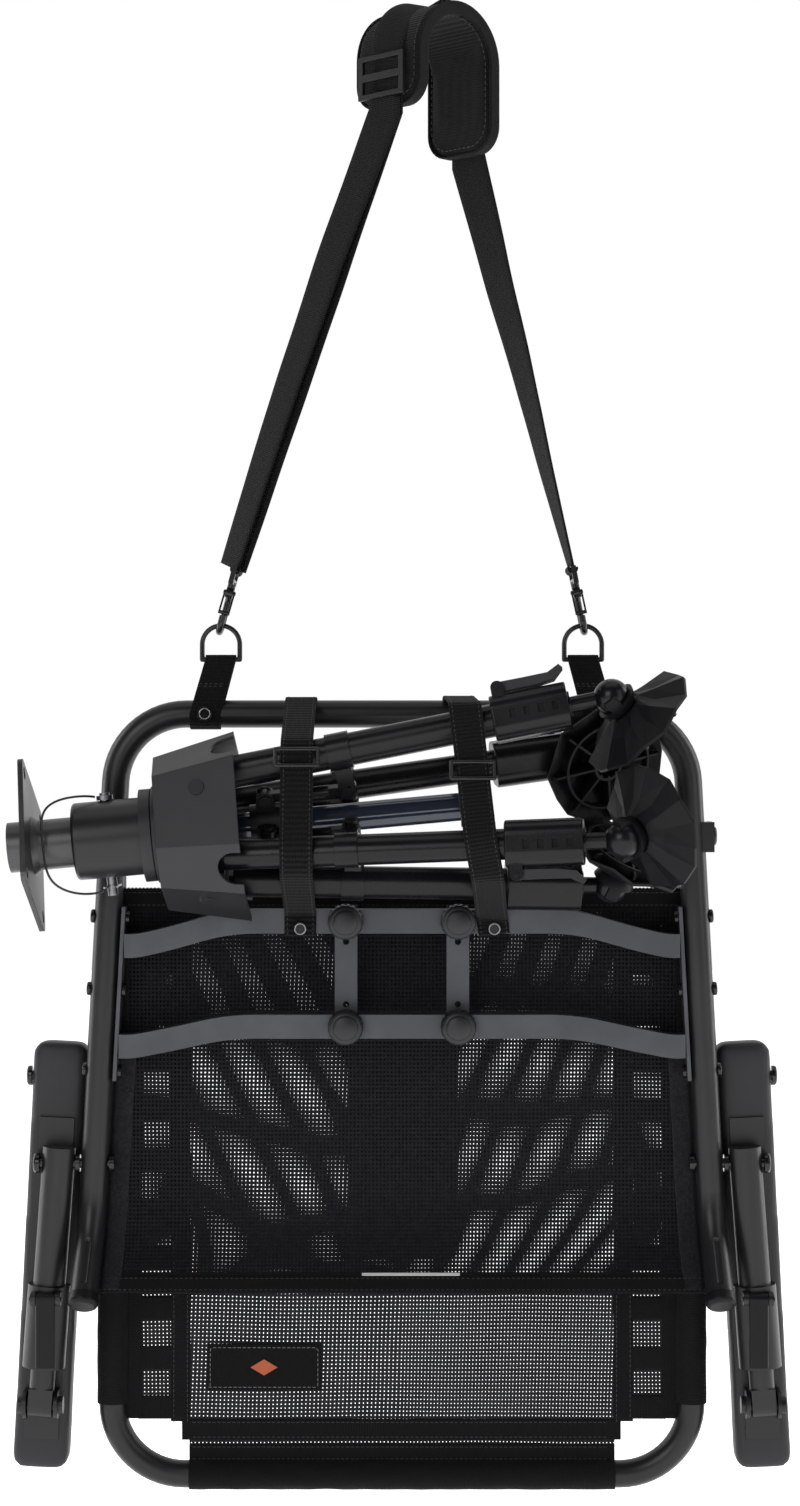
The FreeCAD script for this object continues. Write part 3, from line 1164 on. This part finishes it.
def foot(leg):
    """Swivelling foot: faceted disc with radial ribs below and an open socket above."""
    socket = Part.makeSphere(BALL_R + 3.4).cut(Part.makeSphere(BALL_R + 0.08))
    cup = block((4.5, -30, -30), (30, 30, 30))
    claws = block((-5, -30, -5), (5, 30, 5))
    socket = socket.common(joined([cup, claws]))
    rings = []
    for reach, depth, fold in ((15.0, 13.0, 0.0), (27.0, 18.0, 3.0), (FOOT_R, 27.0, 4.0)):
        points = []
        for index in range(2 * FOOT_FACES):
            angle = math.pi * index / FOOT_FACES
            drop = fold if index % 2 else 0.0
            shrink = 0.97 if index % 2 else 1.0
            points.append(V(depth + drop, reach * shrink * math.cos(angle), reach * shrink * math.sin(angle)))
        rings.append(points)
    thick = V(2.6, 0, 0)
    faces = []
    count = 2 * FOOT_FACES
    for level in (0, 1):
        for index in range(count):
            after = (index + 1) % count
            a = rings[level][index]
            b = rings[level][after]
            c = rings[level + 1][after]
            d = rings[level + 1][index]
            for lift in (V(0, 0, 0), thick):
                faces.append(Part.Face(polygon_wire([a + lift, b + lift, c + lift])))
                faces.append(Part.Face(polygon_wire([a + lift, c + lift, d + lift])))
    for points in (rings[0], rings[2]):
        for index in range(count):
            after = (index + 1) % count
            a = points[index]
            b = points[after]
            faces.append(Part.Face(polygon_wire([a, b, b + thick])))
            faces.append(Part.Face(polygon_wire([a, b + thick, a + thick])))
    disc = Part.Solid(Part.makeShell(faces))
    if disc.Volume < 0:
        disc.reverse()
    floor = cylinder(V(14.2, 0, 0), V(19.0, 0, 0), 16.5)
    ribs = []
    for index in range(FOOT_FACES):
        angle = 360.0 / FOOT_FACES * index
        rib = Part.Face(polygon_wire([V(16, -1, 8), V(22, -1, 27), V(30.4, -1, 46), V(34, -1, 44),
                                      V(35, -1, 8)])).extrude(V(0, 2, 0))
        ribs.append(turned(rib, ORIGIN, X_AXIS, angle))
    hoop = ring(V(26, 0, 0), V(35, 0, 0), 36, 34)
    hub = ring(V(18, 0, 0), V(35, 0, 0), 12, 9.5)
    shape = joined([disc, floor, hub, socket, hoop] + ribs)
    shape = shape.cut(Part.makeSphere(BALL_R + 0.08))
    shape = turned(shape, ORIGIN, Y_AXIS, FOOT_TILT[leg] + LEG_SPLAY)
    return moved(shape, V(leg_u(BALL_S[leg]), 0, 0))


def brace(leg):
    """Strut from the slider to the saddle on the leg, drawn on the stand's axis."""
    start = V(SLIDER_S, 0, SLIDER_R)
    end = V(BRACKET_S, 0, BRACKET_R)
    way = (end - start).normalize()
    rod = cylinder(start + way * 13, end - way * 15, 4.5)
    pieces = [rod]
    for point, sign, radius in ((start, 1, 6.4), (end, -1, 7.4)):
        pieces.append(cylinder(point - V(0, 3.5, 0), point + V(0, 3.5, 0), radius))
        low = min(point.x, point.x + sign * 18)
        pieces.append(block((low, -3.5, SLIDER_R - 3), (low + 18, 3.5, BRACKET_R + 3)))
    strut = joined(pieces)
    strut = strut.cut(cylinder(start - V(0, 5, 0), start + V(0, 5, 0), 3 + FIT))
    strut = strut.cut(cylinder(end - V(0, 5, 0), end + V(0, 5, 0), 4.1))
    return stand_place(roll(strut, LEG_ROLLS[leg]))


save("seat_tube", [seat_tube()])
save("seat_end_caps", seat_end_caps())
save("seat_fabric", [seat_cloth()])
save("cross_bars", cross_bars())
save("mount_plates", mount_plates())
save("frame_fasteners", frame_fasteners())
save("ring_tabs", [ring_tab(-1), ring_tab(1)])
save("stand_straps", [stand_strap(0), stand_strap(1)])
save("strap_buckles", [strap_buckle(0), strap_buckle(1)])
KNOBS = [(x, bar[0]) for bar in BARS for x in (-STRIP_X, STRIP_X)]
for number, (knob_x, knob_z) in enumerate(KNOBS):
    save("knob_" + str(number + 1), [knob(knob_x, knob_z)])

save("backrest_tube", [backrest_tube()])
save("backrest_fabric", [backrest_cloth()])
save("armrest_bolts", armrest_bolts())

RIGHT_PARTS = (("armrest_pad", armrest_pad), ("armrest_bracket", armrest_bracket), ("prop_lever", prop_lever))
for label, make in RIGHT_PARTS:
    right_shape = make()
    save(label + "_left", [mirrored(right_shape)])
    save(label + "_right", [right_shape])
PROP = [prop_tube(), prop_inner(), prop_clamp()]
save("prop_left", [mirrored(piece) for piece in PROP])
save("prop_right", PROP)

save("d_rings", [d_ring(-1), d_ring(1)])
save("snap_hooks", [hook_place(snap_hook(), 0), hook_place(snap_hook(), 1)])
save("gate_left", [hook_place(hook_gate(), 0)])
save("gate_right", [hook_place(hook_gate(), 1)])
save("strap_webbing", strap_webbing())
save("shoulder_pad", [shoulder_pad()])
save("tri_glide", [tri_glide()])

save("swivel_shaft", [stand_place(swivel_shaft())])
save("swivel_collar", [stand_place(swivel_collar())])
save("lock_pin", [stand_place(lock_pin())])
save("hairpin_clip", [stand_place(hairpin_clip())])
save("lanyard", [stand_place(lanyard())])
save("hub_shroud", [stand_place(hub_shroud())])
save("hub_core", [stand_place(hub_core())])
save("centre_post", [stand_place(centre_post())])
save("slider_collar", [stand_place(slider_collar())])

for number in range(4):
    suffix = "_" + str(number + 1)
    save("leg_tube" + suffix, [leg_place(leg_tube(), number), leg_place(grip(number), number)])
    save("leg_lever" + suffix, [leg_place(grip_lever(number), number)])
    save("lower_leg" + suffix, [leg_place(lower_leg(number), number)])
    save("foot" + suffix, [leg_place(foot(number), number)])
    save("brace" + suffix, [brace(number)])
